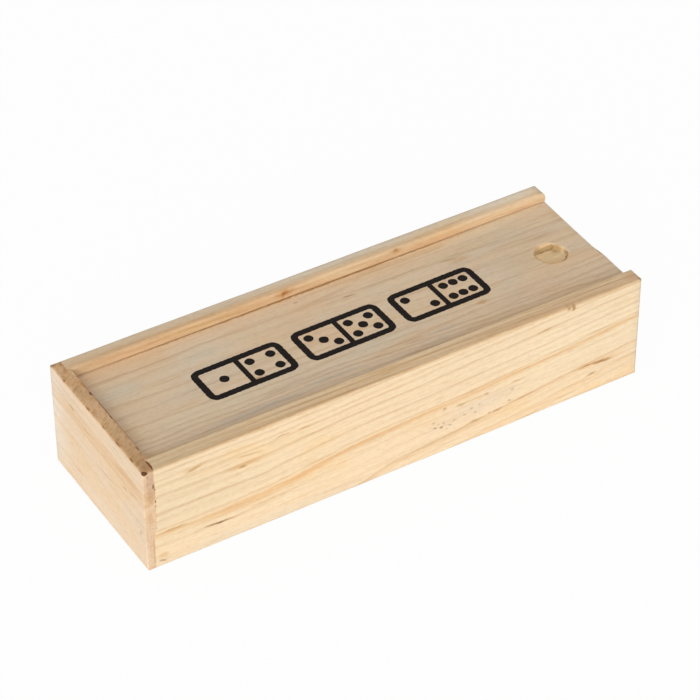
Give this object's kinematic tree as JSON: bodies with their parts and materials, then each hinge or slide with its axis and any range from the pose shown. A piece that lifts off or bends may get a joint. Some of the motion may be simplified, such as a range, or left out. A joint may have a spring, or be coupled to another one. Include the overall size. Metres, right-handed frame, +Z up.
{
  "type": "sliding-lid tile box",
  "caption": "Long low wooden box with rabbeted corners and a lid that slides out lengthways in grooves, with a round thumb notch, for storing domino tiles.",
  "frame": {"origin": "centre of the underside, on the face that the box rests on", "axes": "+X along the length, towards the open end that the lid slides out of; -Y is the front; +Z up"},
  "size_m": [0.15, 0.0506, 0.0324],
  "materials": {
    "end_boards": "bare sanded pine, end grain darker",
    "side_boards": "bare sanded pine",
    "bottom": "bare sanded pine",
    "lid": "bare sanded pine, greyer, with a black print"
  },
  "bodies": {
    "box": {"closed_end": "end_boards", "low_end": "end_boards", "front_side": "side_boards", "back_side": "side_boards", "bottom_panel": "bottom"},
    "lid": {"sliding_lid": "lid"}
  },
  "joints": [
    {"name": "lid_slide", "type": "slide", "parent": "box", "child": "lid", "axis": [1, 0, 0], "range_m": [0, 0.1465]}
  ]
}
